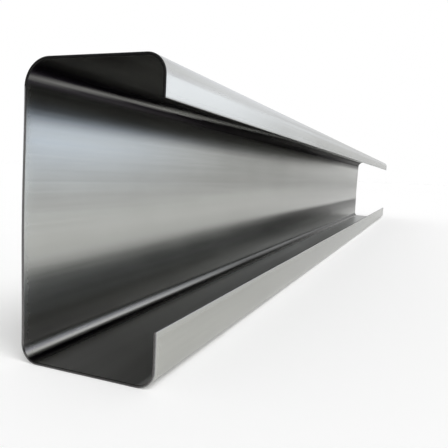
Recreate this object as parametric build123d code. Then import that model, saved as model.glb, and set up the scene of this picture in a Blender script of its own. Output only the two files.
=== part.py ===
from build123d import *

import os

# Galvanized C-purlin: one strip of zinc-coated steel, roll-formed into a lipped C and cut to length.
# It stands on its lower flange with the web upright and the open side towards +Y.
# X runs along the length, the origin is the middle of the footprint, and sizes are in millimetres.

LENGTH = 850.0  # between the square cut ends
DEPTH = 100.0  # web, outside the flanges
FLANGE = 51.0  # each flange, outside the web and the lip
UPPER_LIP = 13.0  # lip turned down from the upper flange, outside height
LOWER_LIP = 18.5  # lip turned up from the lower flange, outside height
SHEET = 1.0  # thickness of the coated strip
INSIDE_BEND = 5.5  # inside radius of the bends at the two lips and at the foot of the web
UPPER_WEB_BEND = 8.5  # inside radius of the rounder bend between the web and the upper flange

outside_bend = INSIDE_BEND + SHEET
outside_upper_web_bend = UPPER_WEB_BEND + SHEET
web_back = -FLANGE / 2
mouth = FLANGE / 2


def outer_face_line():
    """Outer face of the strip seen from the +X end, from the upper lip's edge to the lower lip's."""
    return FilletPolyline(
        (mouth, DEPTH - UPPER_LIP),
        (mouth, DEPTH),
        (web_back, DEPTH),
        (web_back, 0),
        (mouth, 0),
        (mouth, LOWER_LIP),
        radius=(outside_bend, outside_upper_web_bend, outside_bend, outside_bend),
    )


def strip_section():
    """The outer line thickened inwards by the sheet, so that both faces of a bend share one centre."""
    return make_face(offset(outer_face_line(), amount=SHEET, side=Side.LEFT, closed=True))


def roll_formed(section):
    """The section drawn out along the rolling direction, half of the length each way."""
    return extrude(Plane.YZ * section, amount=LENGTH / 2, both=True)


section = strip_section()
c_purlin = roll_formed(section)
c_purlin.label = "c_purlin"

os.makedirs("parts", exist_ok=True)
export_step(c_purlin, "parts/c_purlin.step")

box = c_purlin.bounding_box().size
print(f"strip cut to about {section.area / SHEET:.1f} mm wide before rolling")
print(f"c_purlin {box.X:.1f} x {box.Y:.1f} x {box.Z:.1f} mm, {c_purlin.volume / 1000:.1f} cm3")
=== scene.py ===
# %% [markdown]
# # A galvanized C-purlin
# A purlin carries roof or wall sheeting from rafter to rafter. This one is a single strip of zinc-coated
# steel, rolled into a lipped C and cut to length, so there is one piece to make. The lesson is about its
# section, its finish and the light that shows both. Sizes are in metres, in the frame of the solid model:
# X runs along the length, Y from the web to the open side, and Z up.

import bpy
import numpy as np
from mathutils import Matrix, Vector


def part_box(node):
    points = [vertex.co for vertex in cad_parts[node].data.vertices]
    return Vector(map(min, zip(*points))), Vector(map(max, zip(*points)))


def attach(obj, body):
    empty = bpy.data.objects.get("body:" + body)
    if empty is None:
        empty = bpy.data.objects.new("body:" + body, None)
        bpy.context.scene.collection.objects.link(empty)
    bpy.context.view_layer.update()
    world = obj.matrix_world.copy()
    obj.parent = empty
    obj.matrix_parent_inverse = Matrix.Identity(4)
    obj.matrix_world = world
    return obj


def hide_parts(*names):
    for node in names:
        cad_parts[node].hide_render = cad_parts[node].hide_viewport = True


MM = 0.001

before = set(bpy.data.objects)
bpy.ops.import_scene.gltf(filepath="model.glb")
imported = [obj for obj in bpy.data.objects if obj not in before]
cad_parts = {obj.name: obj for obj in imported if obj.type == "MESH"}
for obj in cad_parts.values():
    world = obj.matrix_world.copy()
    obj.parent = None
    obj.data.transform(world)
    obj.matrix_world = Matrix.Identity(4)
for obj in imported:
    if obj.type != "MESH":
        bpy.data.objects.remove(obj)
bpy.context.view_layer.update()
low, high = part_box("c_purlin")
length, flange, depth = high - low
print(f"nodes {list(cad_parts)}: {length / MM:.0f} x {flange / MM:.0f} x {depth / MM:.0f} mm")

# %% [markdown]
# ## The middle line of the sheet
# Pairs of rolls turn the flat strip up four times, so the middle of the sheet is a chain of nine stretches:
# lip, bend, flange, bend, web, bend, flange, bend, lip. Each is straight or turns evenly through a quarter
# circle. The section could be drawn point by point, or as boxes with a bevel. The chain is better here,
# because a place on the finished purlin is then a distance across the flat strip, and the finish can follow
# it round the bends.

# %% The chain of stretches
SHEET = 1.0 * MM
UPPER_LIP = 13.0 * MM
LOWER_LIP = 18.5 * MM
INSIDE_BEND = 5.5 * MM
UPPER_WEB_BEND = 8.5 * MM
QUARTER = np.pi / 2
LIP_A, BEND_A, FLANGE_A, BEND_B, WEB, BEND_C, FLANGE_D, BEND_D, LIP_D = range(9)

bend_inside = np.array([INSIDE_BEND, UPPER_WEB_BEND, INSIDE_BEND, INSIDE_BEND])
bend_outside = bend_inside + SHEET
outside_sizes = np.array([UPPER_LIP, flange, depth, flange, LOWER_LIP])
stretch_length = np.empty(9)
stretch_length[0::2] = outside_sizes - np.append(bend_outside, 0) - np.insert(bend_outside, 0, 0)
stretch_length[1::2] = QUARTER * (bend_inside + SHEET / 2)
stretch_turn = np.zeros(9)
stretch_turn[1::2] = QUARTER
stretch_start = np.insert(np.cumsum(stretch_length), 0, 0)
strip_width = stretch_start[-1]
print(f"the flat strip is {strip_width / MM:.1f} mm wide")


# %% Places on the middle line
def chord(run, turn):
    """Straight distance between the ends of a run that turns evenly.

    It is the run times the sine of half the turn, over half the turn.
    """
    return run * np.sinc(turn / (2 * np.pi))


heading_start = QUARTER + np.insert(np.cumsum(stretch_turn), 0, 0)[:-1]
step = chord(stretch_length, stretch_turn)
step_heading = heading_start + stretch_turn / 2
corner_y = high.y - SHEET / 2 + np.insert(np.cumsum(step * np.cos(step_heading)), 0, 0)
corner_z = high.z - UPPER_LIP + np.insert(np.cumsum(step * np.sin(step_heading)), 0, 0)


def middle_line(across):
    """Point (y, z) and heading of the sheet's middle, by the distance from the upper lip's edge.

    The distance falls in one stretch. From the start of that stretch the point lies one chord away, in the
    direction that is half of the turn made so far.
    """
    k = np.clip(np.searchsorted(stretch_start, across, side="right") - 1, LIP_A, LIP_D)
    run = across - stretch_start[k]
    turn = stretch_turn[k] * run / stretch_length[k]
    direction = heading_start[k] + turn / 2
    y = corner_y[k] + chord(run, turn) * np.cos(direction)
    z = corner_z[k] + chord(run, turn) * np.sin(direction)
    return y, z, heading_start[k] + turn


end_y, end_z, end_heading = middle_line(strip_width)
turned = np.degrees(end_heading - heading_start[LIP_A])
print(f"the lower lip ends at y {end_y / MM:.2f}, z {end_z / MM:.2f} mm, turned by {turned:.0f} degrees")

# %% [markdown]
# ## The strip as a grid
# A sheet has two faces and four edges, and none of its corners is perfectly sharp. The strip is first a flat
# slab with softened edges: one parameter runs round its outline, the other along its length. Both faces
# share the same lines, so the cut ends close with one row of quads. A cosine crowds the lines at the bends
# and at the ends. That keeps the flat faces flat under smooth shading, as holding loops do.

# %% Lines of the grid
SLIT_ARRIS = 0.15 * MM
CUT_ARRIS = 0.12 * MM
FACE_STARTS = 1.5 * SLIT_ARRIS
ARRIS_STEPS = 4
STATIONS = 150
lines_in_stretch = [10, 14, 16, 18, 28, 14, 16, 14, 12]


def crowded(count):
    """Fractions from 0 to 1 that crowd at both ends: half of 1 minus the cosine of an even half turn."""
    return (1 - np.cos(np.linspace(0, np.pi, count + 1))) / 2


def even(count):
    """Fractions from 0 to 1 in equal steps."""
    return np.linspace(0, 1, count + 1)


spacing = [even(n) if turn else crowded(n) for n, turn in zip(lines_in_stretch, stretch_turn)]
across_lines = np.concatenate([
    start + run * fractions[:-1]
    for start, run, fractions in zip(stretch_start, stretch_length, spacing)
])
face_lines = across_lines[across_lines > FACE_STARTS]
print(f"{len(face_lines)} lines across each face, {STATIONS} steps along the length")


# %% Outline of the slab and stations along it
def half_outline(inset):
    """Distances across the strip and heights above its middle, from slit to slit over the outer face.

    The face lies at half of the sheet less the inset. Each slit edge is a quarter circle whose radius is
    the arris less the inset. Insets are a column, so the result has a row for each station.
    """
    radius = SLIT_ARRIS - inset
    angle = np.linspace(0, QUARTER, ARRIS_STEPS)
    edge_across = inset + radius * (1 - np.cos(angle))
    edge_height = SHEET / 2 - inset - radius * (1 - np.sin(angle))
    size = (len(inset), len(face_lines))
    face_across = np.broadcast_to(face_lines, size)
    face_height = np.broadcast_to(SHEET / 2 - inset, size)
    across = np.concatenate([edge_across, face_across, strip_width - edge_across[:, ::-1]], axis=1)
    height = np.concatenate([edge_height, face_height, edge_height[:, ::-1]], axis=1)
    return across, height


turn_in = np.linspace(0, QUARTER, ARRIS_STEPS)[1:]
half_run = length / 2 - CUT_ARRIS
plain_x = half_run * (2 * crowded(STATIONS) - 1)
round_x = half_run + CUT_ARRIS * np.sin(turn_in)
round_inset = CUT_ARRIS * (1 - np.cos(turn_in))
along = np.concatenate([-round_x[::-1], plain_x, round_x])[:, None]
inset = np.concatenate([round_inset[::-1], np.zeros(len(plain_x)), round_inset])[:, None]
half_across, half_height = half_outline(inset)
ring_across = np.concatenate([half_across, half_across[:, ::-1]], axis=1)
ring_height = np.concatenate([half_height, -half_height[:, ::-1]], axis=1)
print(f"grid of {ring_across.shape[0]} rings with {ring_across.shape[1]} points each")

# %% [markdown]
# ## Rolled, not machined
# Thin rolled sheet is never quite flat. The web bows out by half a millimetre and bellies a little along its
# length, and the free edges of the lips run in a shallow wave. Shiny metal shows each of these in its
# reflections. Noise would make it look dented, so the waves are a few sines that fade out towards the bends,
# where the sheet is stiff.

# %% Roll-forming waves
WEB_BOW = 0.5 * MM
WEB_BELLY = 0.05 * MM
LIP_WAVE = 0.10 * MM

# Wavelengths in metres, and phases in radians
BELLY_SINES = (0.31, 0.19), (0.4, 2.1)
UPPER_LIP_SINES = (0.23, 0.11), (1.2, 0.3)
LOWER_LIP_SINES = (0.27, 0.13), (2.6, 1.7)


def lengthwise_wave(x, wavelengths, phases):
    """Mean of sines along the length, one for each wavelength and phase."""
    waves = [np.sin(2 * np.pi * x / w + p) for w, p in zip(wavelengths, phases)]
    return sum(waves) / len(waves)


def share_of(stretch, across):
    """How far across one stretch a place lies: 0 before it, 1 after it."""
    return np.clip((across - stretch_start[stretch]) / stretch_length[stretch], 0, 1)


def rolling_wave(across, x):
    """How far the sheet stands out from its true line.

    The web stands out by a sine squared across its width, times a steady bow and a small wave along the
    length. A lip leans by the square of the distance from its bend, times its own wave along the length.
    """
    hump = np.sin(np.pi * share_of(WEB, across)) ** 2
    belly = WEB_BOW + WEB_BELLY * lengthwise_wave(x, *BELLY_SINES)
    upper = (1 - share_of(LIP_A, across)) ** 2 * lengthwise_wave(x, *UPPER_LIP_SINES)
    lower = share_of(LIP_D, across) ** 2 * lengthwise_wave(x, *LOWER_LIP_SINES)
    return belly * hump + LIP_WAVE * (upper + lower)


def bend_strip(across, height, x):
    """The slab rolled into shape: the middle line plus the height along the sheet's outward normal.

    The outward normal lies to the right of the heading, so it is (sin, -cos) of the heading.
    """
    y, z, heading = middle_line(across)
    out = height + rolling_wave(across, x)
    x_all = np.broadcast_to(x, y.shape)
    return np.stack([x_all, y + out * np.sin(heading), z - out * np.cos(heading)], axis=-1)


points = bend_strip(ring_across, ring_height, along)
print(f"largest wave {np.abs(rolling_wave(ring_across, along)).max() / MM:.3f} mm")

# %% [markdown]
# ## The mesh
# The grid becomes quads: four neighbours for each cell, round the ring and along the length, and one row of
# quads between the two faces at each end. Each face gets its material from its place in the grid, so the
# zinc ends exactly where the shears and the slitter cut through it.


# %% Build the purlin
def grid_quads(rings, around):
    """Corners of each cell of a tube: a point, the next round the ring, and the same two one ring on."""
    ring = np.arange(rings - 1)[:, None] * around
    here = np.arange(around)[None, :]
    there = (here + 1) % around
    corners = np.stack([ring + here, ring + there, ring + around + there, ring + around + here], axis=-1)
    return corners.reshape(-1, 4)


def end_quads(first, around):
    """Quads across a cut end: point i of the outer face meets point i counted from the ring's end."""
    i = np.arange(around // 2 - 1)
    outer = np.stack([first + i, first + i + 1], axis=-1)
    inner = np.stack([first + around - 2 - i, first + around - 1 - i], axis=-1)
    return np.concatenate([outer, inner], axis=-1)


rings, around = ring_across.shape
side_faces = grid_quads(rings, around)
start_faces = end_quads(0, around)
finish_faces = end_quads((rings - 1) * around, around)[:, ::-1]
mesh = bpy.data.meshes.new("purlin")
mesh.from_pydata(points.reshape(-1, 3), [], np.concatenate([side_faces, start_faces, finish_faces]))
mesh.validate()
mesh.polygons.foreach_set("use_smooth", np.ones(len(mesh.polygons), bool))
purlin = bpy.data.objects.new("purlin", mesh)
bpy.context.scene.collection.objects.link(purlin)
print(f"purlin: {len(mesh.vertices)} points, {len(mesh.polygons)} quads")

# %% Bare edges
half_ring = around // 2
on_slit = np.zeros(around, bool)
on_slit[:ARRIS_STEPS - 1] = True
on_slit[half_ring - ARRIS_STEPS:half_ring + ARRIS_STEPS - 1] = True
on_slit[around - ARRIS_STEPS:] = True
on_cut = np.zeros(rings - 1, bool)
on_cut[:ARRIS_STEPS - 1] = True
on_cut[1 - ARRIS_STEPS:] = True
is_bare = np.concatenate([(on_cut[:, None] | on_slit).ravel(), np.ones(2 * len(start_faces), bool)])
mesh.polygons.foreach_set("material_index", is_bare.astype(np.int32))
print(f"{is_bare.sum()} of {len(is_bare)} faces are bare steel")

# %% [markdown]
# ## Places on the strip
# The finish belongs to the flat strip: streaks from the rolls run along it and turn the bends with it. So
# the mesh carries a UV map with the place on the strip in metres, and a few numbers for each point. They
# tell where the sheet was bent, how near the next cut is, and how deep a point lies in the cut.


# %% The strip map
def point_attribute(name, values):
    """Stores one number for each point of the purlin, for its materials to read."""
    numbers = np.broadcast_to(values, (rings, around)).astype(np.float32)
    attribute = mesh.attributes.new(name, "FLOAT", "POINT")
    attribute.data.foreach_set("value", numbers.ravel())


corner_points = np.empty(len(mesh.loops), np.int32)
mesh.loops.foreach_get("vertex_index", corner_points)
strip_place = np.stack([np.broadcast_to(along, ring_across.shape), ring_across], axis=-1).reshape(-1, 2)
strip_map = mesh.uv_layers.new(name="strip")
strip_map.data.foreach_set("uv", strip_place[corner_points].astype(np.float32).ravel())
print(f"strip map: {len(strip_map.data)} corners")

# %% Bends and edges
EDGE_REACH = 1.5 * MM
BEND_BLEND = 1.2 * MM

bend_ends = np.stack([stretch_start[1:-1:2], stretch_start[2::2]], axis=-1)
blend_steps = np.array([-BEND_BLEND, BEND_BLEND])
bend_places = (bend_ends[:, :, None] + blend_steps).ravel()
bent = np.interp(ring_across, bend_places, [0, 1, 1, 0] * 4)

from_slit = np.minimum(ring_across, strip_width - ring_across)
from_cut = length / 2 - np.abs(along)
edge = np.exp(-np.minimum(from_slit, from_cut) / EDGE_REACH)

point_attribute("bent", bent)
point_attribute("edge", edge)
point_attribute("through", 0.5 + ring_height / SHEET)
print(f"bent: {100 * bent.mean():.0f}% of the points, near an edge: {100 * (edge > 0.5).mean():.0f}%")

# %% [markdown]
# ## The painted shade
# The inside of the channel is darkened in the coating's colour. This is painted shade, and painted
# reflection of the dark inside. It lies on the inside of the upper lip and the flanges, most of all in the
# bends beside the web. It also lies on the top of the web, on the lower web towards the far end, and on the
# inside of the upper part towards the cuts. It could be painted by hand or drawn as noise. Here it is a
# depth from 0 to 1 at a few places across the strip, because the bands it stands for run along the length.
# Each place has one depth for the near end and one for the far end, and the shade changes slowly from one to
# the other. On each of the two bends a narrow line is left clear of it, where the reflection shows as a
# highlight, and the upper line drifts a little. Where the shade is deep, the zinc keeps its gloss. On the
# flanges the shade is about half deep, and the zinc is made duller there.
# So dust is a second number: four times the depth times 1 less the depth, which is largest at half depth.

# %% Painted shade across the strip
# Painted shade: millimetres from the top of the web, depth at the near end, depth at the far end
upper_shade = np.array([
    (-52, 0.62, 0), (-44, 0.62, 0.60), (-30, 0.62, 0.60), (-22, 0.50, 0.60), (-15, 0.38, 0.60),
    (-9, 0.88, 0.80), (-5.9, 1.00, 0.80), (-1.6, 1.00, 0.80), (0, 0.60, 0.58), (3, 0.55, 0.45),
    (6, 0.50, 0), (12, 0, 0),
])
# Painted shade: millimetres from the foot of the web, and the same two depths
lower_shade = np.array([
    (-28, 0, 0), (-23.5, 0, 0.52), (-15, 0, 0.42), (-8, 0, 0.26), (0, 0, 0.12), (2, 0.75, 0.50),
    (4.5, 0.90, 0.65), (5.8, 1.00, 0.45), (8, 0.85, 0.25), (10, 0.58, 0.18), (47.4, 0.58, 0.18),
    (56.8, 0, 0),
])
shade_places = np.concatenate([
    stretch_start[WEB] + upper_shade[:, 0] * MM,
    stretch_start[BEND_C] + lower_shade[:, 0] * MM,
])
near_depths, far_depths = np.concatenate([upper_shade, lower_shade])[:, 1:].T
print(f"film given at {len(shade_places)} places across the strip")

# %% Lines left clear for highlights
# On each bend a line is left clear of the painted shade, where the reflection shows as a highlight; the
# upper line drifts along the length as the highlight does
UPPER_HIGHLIGHT_LINE = stretch_start[WEB] - 3.7 * MM
LOWER_HIGHLIGHT_LINE = stretch_start[BEND_C] + 4.25 * MM
LOWER_HIGHLIGHT_HALF = 1.20 * MM
LINE_FLANK = 0.50 * MM
LINE_DRIFT = 0.025
DRIFT_RUN = 0.30

# Places along the length between which a highlight line changes, and what it is at each of them
UPPER_LINE_CHANGES = [0.31, 0.37]
UPPER_HIGHLIGHT_HALF = [1.10 * MM, 0.75 * MM]
UPPER_HIGHLIGHT_CLEARED = [1.0, 0.42]
LOWER_LINE_CHANGES = [0.20, 0.40]
LOWER_HIGHLIGHT_CLEARED = [0, 0.86]


def shade_left(middle, half, rubbed_or_cleared):
    """Share of the painted shade that a line left clear for a highlight keeps.

    It is 1 less the cleared share in the line, and rises evenly to 1 over a flank on each side of its
    border.
    """
    inwards = half - np.abs(ring_across - middle)
    return 1 - rubbed_or_cleared * np.clip(0.5 + inwards / (2 * LINE_FLANK), 0, 1)


drift = LINE_DRIFT * np.clip(high.x - along, 0, DRIFT_RUN)
upper_half = np.interp(along, UPPER_LINE_CHANGES, UPPER_HIGHLIGHT_HALF)
upper_cleared = np.interp(along, UPPER_LINE_CHANGES, UPPER_HIGHLIGHT_CLEARED)
lower_cleared = np.interp(along, LOWER_LINE_CHANGES, LOWER_HIGHLIGHT_CLEARED)
upper_left = shade_left(UPPER_HIGHLIGHT_LINE - drift, upper_half, upper_cleared)
lower_left = shade_left(LOWER_HIGHLIGHT_LINE, LOWER_HIGHLIGHT_HALF, lower_cleared)
print(f"the upper line drifts by {drift.max() / MM:.1f} mm")
print(f"the lower line leaves {lower_left.min():.2f} of the film")

# %% Painted shade on the points
SHADE_CHANGES = [0.10, 0.40]
CUT_SHADE = 0.4
CUT_SHADE_REACH = 15.0 * MM
DUST_ENDS = 7.0 * MM

nearness = np.interp(along, SHADE_CHANGES, [0, 1])
near_shade = np.interp(ring_across, shade_places, near_depths)
far_shade = np.interp(ring_across, shade_places, far_depths)
# The painted shade: near and far depths blended along the length, less the lines left clear for highlights
painted_shade = (far_shade + nearness * (near_shade - far_shade)) * upper_left * lower_left

# Painted shade also gathers on the inside of the upper part towards each cut and reaches over its cut face
# there, which darkens the cut edge
on_upper_part = ring_across < stretch_start[WEB]
shade_at_cut = np.where(on_upper_part, CUT_SHADE * np.exp(-from_cut / CUT_SHADE_REACH), 0)
on_upper_cut = on_upper_part & (from_cut < CUT_ARRIS)
painted_shade = np.where((ring_height < 0) | on_upper_cut, painted_shade + shade_at_cut * (1 - painted_shade), 0)

on_flange = (ring_across < stretch_start[WEB] - DUST_ENDS) | (ring_across > stretch_start[FLANGE_D])
dust = np.where(on_flange, 4 * painted_shade * (1 - painted_shade), 0)
# The painted shade is stored on the points for the zinc and the cut steel to read
point_attribute("painted_shade", painted_shade)
point_attribute("dust", dust)
print(f"shaded: {100 * (painted_shade > 0).mean():.0f}% of the points, dusty: {100 * (dust > 0).mean():.0f}%")

# %% [markdown]
# ## Zinc
# Hot-dip zinc on a rolled section is a satin metal. It is grey, a little warm, and marked along the length
# by the rolls. A plain metal with one roughness would look like chrome or plastic, so tone, roughness and
# relief each come from noise that is drawn out along the strip. Bends are duller, because the coating is
# stretched there. The colour also carries the painted shade of the inside. Metal brightens at a flat angle,
# and the painted shade takes that away too: this is what the shader calls specular tint.


# %% Start the zinc coating
def new_material(name, shader_type="ShaderNodeBsdfPrincipled"):
    """An empty node material with one shader on its surface: the material, its tree and the shader."""
    material = bpy.data.materials.new(name)
    material.use_nodes = True
    tree = material.node_tree
    tree.nodes.clear()
    output = tree.nodes.new("ShaderNodeOutputMaterial")
    shader = tree.nodes.new(shader_type)
    tree.links.new(shader.outputs[0], output.inputs["Surface"])
    return material, tree, shader


def attribute_value(tree, name):
    """One of the numbers that the mesh carries for each point."""
    node = tree.nodes.new("ShaderNodeAttribute")
    node.attribute_name = name
    return node.outputs["Fac"]


def map_place(tree, name):
    """The place that one of the mesh's UV maps gives."""
    node = tree.nodes.new("ShaderNodeUVMap")
    node.uv_map = name
    return node.outputs["UV"]


def drawn_noise(tree, place, scale, detail, roughness):
    """Noise over the strip, with its own number of features per metre along and across."""
    mapping = tree.nodes.new("ShaderNodeMapping")
    mapping.inputs["Scale"].default_value = (*scale, 1)
    tree.links.new(place, mapping.inputs["Vector"])
    noise = tree.nodes.new("ShaderNodeTexNoise")
    noise.inputs["Scale"].default_value = 1
    noise.inputs["Detail"].default_value = detail
    noise.inputs["Roughness"].default_value = roughness
    tree.links.new(mapping.outputs["Vector"], noise.inputs["Vector"])
    return noise.outputs["Fac"]


zinc, tree, shader = new_material("zinc_coating")
print(f"{zinc.name} starts with {len(tree.nodes)} nodes")

# %% Work on values and colours
USUAL_NOISE = (0.3, 0.7)


def spread(tree, value, to_low, to_high, from_low=0.0, from_high=1.0, kind="LINEAR"):
    """Carries a value from one range to another, straight or with soft ends."""
    node = tree.nodes.new("ShaderNodeMapRange")
    node.interpolation_type = kind
    node.inputs["From Min"].default_value = from_low
    node.inputs["From Max"].default_value = from_high
    node.inputs["To Min"].default_value = to_low
    node.inputs["To Max"].default_value = to_high
    tree.links.new(value, node.inputs["Value"])
    return node.outputs["Result"]


def swayed(tree, noise, middle, reach):
    """A value that noise moves up and down: the middle, give or take the reach."""
    return spread(tree, noise, middle - reach, middle + reach, *USUAL_NOISE)


def combined(tree, operation, *values):
    """Carries out one sum on two values, and on its result with each further value."""
    result = values[0]
    for value in values[1:]:
        node = tree.nodes.new("ShaderNodeMath")
        node.operation = operation
        tree.links.new(result, node.inputs[0])
        if isinstance(value, float):
            node.inputs[1].default_value = value
        else:
            tree.links.new(value, node.inputs[1])
        result = node.outputs["Value"]
    return result


def toned(tree, colour, tone):
    """A colour multiplied by one number."""
    node = tree.nodes.new("ShaderNodeVectorMath")
    node.operation = "SCALE"
    tree.links.new(colour, node.inputs[0])
    tree.links.new(tone, node.inputs["Scale"])
    return node.outputs["Vector"]


def mixed(tree, share, first, second):
    """The first colour where the share is 0, the second where it is 1."""
    node = tree.nodes.new("ShaderNodeMix")
    node.data_type = "RGBA"
    node.inputs["A"].default_value = (*first, 1)
    node.inputs["B"].default_value = (*second, 1)
    tree.links.new(share, node.inputs["Factor"])
    return node.outputs["Result"]


print(f"noise is taken to lie between {USUAL_NOISE[0]} and {USUAL_NOISE[1]}")

# %% Marks on the zinc
place = map_place(tree, "strip")
roll_lines = drawn_noise(tree, place, scale=(4, 420), detail=3, roughness=0.6)
roll_bands = drawn_noise(tree, place, scale=(2.2, 75), detail=2, roughness=0.5)
bloom = drawn_noise(tree, place, scale=(22, 40), detail=4, roughness=0.55)
bent_here = attribute_value(tree, "bent")
edge_here = attribute_value(tree, "edge")
dust_here = attribute_value(tree, "dust")
# Painted shade from the points, broken a little by the roll bands
shade_here = combined(tree, "MULTIPLY", attribute_value(tree, "painted_shade"), swayed(tree, roll_bands, 1, 0.1))
print(f"{zinc.name} with its marks has {len(tree.nodes)} nodes")

# %% Colour of the zinc, with the painted shade
ZINC_TONE = (0.468, 0.470, 0.440)
# Colour of the painted shade inside the channel
PAINTED_SHADE_TONE = (0.026, 0.0235, 0.028)
EDGE_TONE = 1.1

tone = combined(
    tree, "MULTIPLY",
    swayed(tree, roll_lines, 1, 0.045),
    swayed(tree, roll_bands, 1, 0.05),
    swayed(tree, bloom, 1, 0.04),
    spread(tree, edge_here, 1, EDGE_TONE),
)
# The zinc colour darkened by the painted shade
zinc_with_shade = mixed(tree, shade_here, ZINC_TONE, PAINTED_SHADE_TONE)
tree.links.new(toned(tree, zinc_with_shade, tone), shader.inputs["Base Color"])
print(f"{zinc.name} with its colour has {len(tree.nodes)} nodes")

# %% Gloss and relief of the zinc
ZINC_ROUGHNESS = 0.235
BEND_DULLS = 0.02
EDGE_DULLS = 0.1
DUST_DULLS = 0.11
ZINC_FLAT_TINT = 0.8
# Flat-angle tint where the painted shade is full
SHADE_FLAT_TINT = 0.05
RELIEF = 0.03 * MM
RELIEF_STRENGTH = 0.3

roughness = combined(
    tree, "ADD",
    swayed(tree, roll_lines, ZINC_ROUGHNESS, 0.02),
    swayed(tree, bloom, 0, 0.01),
    spread(tree, bent_here, 0, BEND_DULLS),
    spread(tree, edge_here, 0, EDGE_DULLS),
    spread(tree, dust_here, 0, DUST_DULLS),
)
tree.links.new(roughness, shader.inputs["Roughness"])
shader.inputs["Metallic"].default_value = 1.0
# The painted shade also takes away the brightening at a flat angle
tree.links.new(spread(tree, shade_here, ZINC_FLAT_TINT, SHADE_FLAT_TINT), shader.inputs["Specular Tint"])
bump = tree.nodes.new("ShaderNodeBump")
bump.inputs["Strength"].default_value = RELIEF_STRENGTH
bump.inputs["Distance"].default_value = RELIEF
tree.links.new(roll_lines, bump.inputs["Height"])
tree.links.new(bump.outputs["Normal"], shader.inputs["Normal"])
mesh.materials.append(zinc)
print(f"{zinc.name} is done with {len(tree.nodes)} nodes")

# %% [markdown]
# ## Cut edges
# Shears and slitter leave two zones across the thickness of a sheet: a third that the blade has rubbed
# smooth, and a torn, dull rest. Bare steel is duller than zinc, so the edge draws a thin line round the
# section. A bevel with one flat grey would do from afar. Seen this close, the zones follow the depth through
# the sheet that each point carries, and the painted shade darkens the cut where it reaches over it.

# %% The sheared steel
RUBBED_TONE = (0.40, 0.40, 0.40)
TORN_TONE = (0.20, 0.195, 0.19)
RUBBED_ROUGHNESS = 0.32
TORN_ROUGHNESS = 0.55
TORN_ENDS, RUBBED_STARTS = 0.60, 0.72
ZONE_WANDERS = 0.12
GRAIN_CONTRAST = 0.25
# How dark the painted shade makes the cut, and at what depth that is full
SHADED_CUT_TONE, SHADED_CUT_AT = 0.1, 0.6

sheared, tree, shader = new_material("sheared_steel")
grain = drawn_noise(tree, map_place(tree, "strip"), scale=(1800, 1800), detail=3, roughness=0.6)
wander = spread(tree, grain, -ZONE_WANDERS, ZONE_WANDERS)
through = combined(tree, "ADD", attribute_value(tree, "through"), wander)
rubbed_or_cleared = spread(tree, through, 0, 1, TORN_ENDS, RUBBED_STARTS, "SMOOTHSTEP")
steel = mixed(tree, rubbed_or_cleared, TORN_TONE, RUBBED_TONE)
darkened = combined(
    tree, "MULTIPLY",
    spread(tree, grain, 1 - GRAIN_CONTRAST, 1 + GRAIN_CONTRAST),
    # Painted shade on the cut, where it reaches over
    spread(tree, attribute_value(tree, "painted_shade"), 1, SHADED_CUT_TONE, 0, SHADED_CUT_AT),
)
tree.links.new(toned(tree, steel, darkened), shader.inputs["Base Color"])
tree.links.new(spread(tree, rubbed_or_cleared, TORN_ROUGHNESS, RUBBED_ROUGHNESS), shader.inputs["Roughness"])
shader.inputs["Metallic"].default_value = 1.0
mesh.materials.append(sheared)
mesh.update()
print(f"{sheared.name} has {len(tree.nodes)} nodes")

# %% The purlin in the frame
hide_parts("c_purlin")
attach(purlin, "root")
print(f"{purlin.name} has the materials {[m.name for m in mesh.materials]}")

# %% [markdown]
# ## Stage
# A pale floor and a white surround give the plain background. They are white only for rays that are seen,
# from the camera or in a reflection, so that they put no more light on the object. Over the horizon the
# surround darkens slowly towards a grey ceiling, which gives rounded metal a soft shade.


# %% Floor
def seen_ray(tree):
    """1 for a ray from the camera, a reflection or a clear material, and 0 for one that only lights."""
    path = tree.nodes.new("ShaderNodeLightPath").outputs
    kinds = [path[f"Is {kind} Ray"] for kind in ("Camera", "Glossy", "Transmission")]
    return combined(tree, "MINIMUM", combined(tree, "ADD", *kinds), 1.0)


FLOOR_HALF = 30.0
FLOOR_TONE = (0.9, 0.9, 0.9)
FLOOR_LIFT = 0.15

floor_corners = np.array([(-1, -1, 0), (1, -1, 0), (1, 1, 0), (-1, 1, 0)]) * FLOOR_HALF
floor_mesh = bpy.data.meshes.new("floor")
floor_mesh.from_pydata(floor_corners, [], [(0, 1, 2, 3)])
floor = bpy.data.objects.new("floor", floor_mesh)
bpy.context.scene.collection.objects.link(floor)
floor_paint, tree, shader = new_material("floor_paint")
shader.inputs["Base Color"].default_value = (*FLOOR_TONE, 1)
shader.inputs["Roughness"].default_value = 1.0
shader.inputs["Specular IOR Level"].default_value = 0.0
shader.inputs["Emission Color"].default_value = (1, 1, 1, 1)
tree.links.new(spread(tree, seen_ray(tree), 0, FLOOR_LIFT), shader.inputs["Emission Strength"])
floor_mesh.materials.append(floor_paint)
print(f"floor: {2 * FLOOR_HALF:.0f} m square")

# %% Surround
CEILING_STARTS = 0.3
CEILING_TONE = 0.5
LIGHTING_STRENGTH = 0.75

world = bpy.data.worlds.new("surround")
bpy.context.scene.world = world
world.use_nodes = True
tree = world.node_tree
background = tree.nodes["Background"]
direction = tree.nodes.new("ShaderNodeTexCoord").outputs["Generated"]
parts = tree.nodes.new("ShaderNodeSeparateXYZ")
tree.links.new(direction, parts.inputs["Vector"])
ceiling = spread(tree, parts.outputs["Z"], 1, CEILING_TONE, CEILING_STARTS, 1, "SMOOTHSTEP")
tree.links.new(ceiling, background.inputs["Color"])
tree.links.new(spread(tree, seen_ray(tree), LIGHTING_STRENGTH, 1), background.inputs["Strength"])
print(f"surround: white at the horizon, {CEILING_TONE} overhead")

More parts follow.
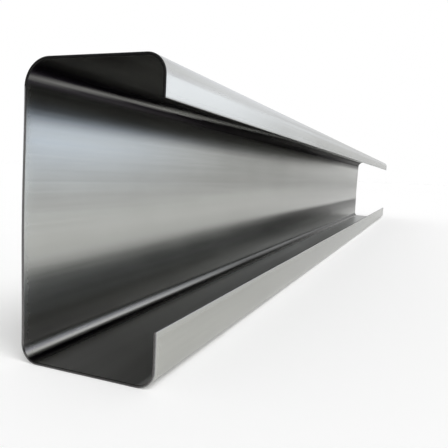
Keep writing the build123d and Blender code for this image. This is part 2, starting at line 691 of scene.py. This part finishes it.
# %% [markdown]
# ## Cards
# Metal shows what stands around it. The long lines on the real purlin tell of a bright wall along its open
# side, with a darker band above it and, at its foot, cool light near by and grey further off. Every line of
# a wall that runs along the purlin is mirrored as a line along the purlin, so flat cards that stand parallel
# to it give the same bands. One more stands beyond the far end for the bend of the upper lip, one lies on
# the floor, and a dark one behind the camera keeps the near cut grey. They fade out at their borders like
# cloth over a lamp, and only reflections see them.


# %% Flat cards
FADE_ALONG = 0.35
FADE_ACROSS = 0.25


def card_cloth(name, colour, strength):
    """Light that fades out at the card's borders, by the distance to the nearest border in the UV map."""
    material, tree, shader = new_material(name, "ShaderNodeMixShader")
    parts = tree.nodes.new("ShaderNodeSeparateXYZ")
    tree.links.new(map_place(tree, "card"), parts.inputs["Vector"])
    from_end = combined(tree, "PINGPONG", parts.outputs["X"], 0.5)
    from_side = combined(tree, "PINGPONG", parts.outputs["Y"], 0.5)
    solid_along = spread(tree, from_end, 0, 1, 0, FADE_ALONG, "SMOOTHSTEP")
    solid_across = spread(tree, from_side, 0, 1, 0, FADE_ACROSS, "SMOOTHSTEP")
    glow = tree.nodes.new("ShaderNodeEmission")
    glow.inputs["Color"].default_value = (*colour, 1)
    glow.inputs["Strength"].default_value = strength
    clear = tree.nodes.new("ShaderNodeBsdfTransparent")
    tree.links.new(combined(tree, "MULTIPLY", solid_along, solid_across), shader.inputs[0])
    tree.links.new(clear.outputs[0], shader.inputs[1])
    tree.links.new(glow.outputs[0], shader.inputs[2])
    return material


def flat_card(name, corner, run, rise, colour, strength):
    """A rectangle on the stage: one corner, plus a share of its run and of its rise."""
    shares = np.array([(0, 0), (1, 0), (1, 1), (0, 1)], np.float32)
    corners = np.array(corner) + shares[:, :1] * np.array(run) + shares[:, 1:] * np.array(rise)
    card_mesh = bpy.data.meshes.new(name)
    card_mesh.from_pydata(corners, [], [(0, 1, 2, 3)])
    card_mesh.uv_layers.new(name="card").data.foreach_set("uv", shares.ravel())
    card_mesh.materials.append(card_cloth(name, colour, strength))
    card = bpy.data.objects.new(name, card_mesh)
    bpy.context.scene.collection.objects.link(card)
    card.visible_camera = False
    card.visible_diffuse = False
    card.visible_shadow = False
    long, wide = np.linalg.norm([run, rise], axis=1)
    print(f"{name}: {long:.1f} m long, {wide:.1f} m wide, strength {strength}")


# Corner, run, rise, colour and strength of each card
flat_card("bright_card", (-7.6, 2.00, 0.40), (9.6, 0, 0), (0, 0, 0.70), (0.96, 1.0, 1.10), 2.1)
flat_card("dark_card", (-4.2, 2.05, 1.00), (4.8, 0, 0), (0, 0, 0.72), (1.06, 0.95, 1.3), 0.45)
flat_card("high_card", (-14, 2.10, 0.80), (12.5, 0, 0), (0, 0, 2.4), (0.98, 1.0, 1.07), 1.44)
flat_card("end_card", (-10, 6.0, 2.0), (0, -14, 0), (0, 0, 5.5), (0.98, 1.0, 1.06), 1.4)
flat_card("cool_card", (-4.6, 2.15, 0.0), (6.6, 0, 0), (0, 0, 0.33), (0.86, 1.0, 1.25), 1.6)
flat_card("grey_card", (-10.2, 2.20, 0.00), (6.2, 0, 0), (0, 0, 0.45), (1.0, 1.0, 0.97), 0.35)
flat_card("floor_card", (-11, 0.35, 0.002), (14, 0, 0), (0, 1.0, 0), (1.0, 1.0, 0.97), 0.15)
flat_card("back_card", (3.0, 2.0, 0.30), (0, -7, 0), (0, 0, 3.0), (1.0, 1.0, 1.0), 0.02)

# %% [markdown]
# ## Lamp
# One broad sun from the open side, high up, makes the soft shadow on the floor. Zinc would show it as a hard
# spot, so it is hidden from reflections, and the cards do its work there.

# %% Soft sun
SUN_FROM = Vector((0.5, 0.9, 1.6))
SUN_ENERGY = 1.5
SUN_WIDTH = np.radians(35)

sun_data = bpy.data.lights.new("soft_sun", "SUN")
sun_data.energy = SUN_ENERGY
sun_data.angle = SUN_WIDTH
sun = bpy.data.objects.new("soft_sun", sun_data)
sun.rotation_euler = (-SUN_FROM).to_track_quat("-Z", "Y").to_euler()
sun.visible_glossy = False
bpy.context.scene.collection.objects.link(sun)
print(f"soft_sun: energy {sun_data.energy}, {np.degrees(sun_data.angle):.0f} degrees wide")

# %% [markdown]
# ## Camera
# The camera stands close to the near end, in front of the open side and a little above the middle of the
# web, and looks along the purlin. Its lens is given in pixels of the picture, which is how a lens is read
# from a photograph.

# %% Place the camera
IMAGE_PIXELS = 448
LENS_PIXELS = 511.8
SENSOR_MM = 36.0
CLIP_START = 0.01
IN_FRONT, BESIDE_WEB, EYE_HEIGHT = 0.1311, 0.12185, 0.06644
TURN, DIP, ROLL = np.radians([21.32, 5.65, 2.89])

camera_data = bpy.data.cameras.new("camera")
camera_data.sensor_width = SENSOR_MM
camera_data.lens = SENSOR_MM * LENS_PIXELS / IMAGE_PIXELS
camera_data.clip_start = CLIP_START
camera = bpy.data.objects.new("camera", camera_data)
bpy.context.scene.collection.objects.link(camera)
ahead = Vector((-np.cos(TURN) * np.cos(DIP), -np.sin(TURN) * np.cos(DIP), -np.sin(DIP)))
level = Vector((-np.sin(TURN), np.cos(TURN), 0))
overhead = level.cross(ahead)
right = np.cos(ROLL) * level + np.sin(ROLL) * overhead
up = np.cos(ROLL) * overhead - np.sin(ROLL) * level
axes = Matrix((right, up, -ahead)).transposed()
eye = Vector((high.x + IN_FRONT, low.y + BESIDE_WEB, EYE_HEIGHT))
camera.matrix_world = Matrix.Translation(eye) @ axes.to_4x4()
bpy.context.scene.camera = camera
bpy.context.scene.view_settings.view_transform = "Standard"
print(f"camera: lens {camera_data.lens:.1f} mm at {[round(c, 3) for c in eye]}")
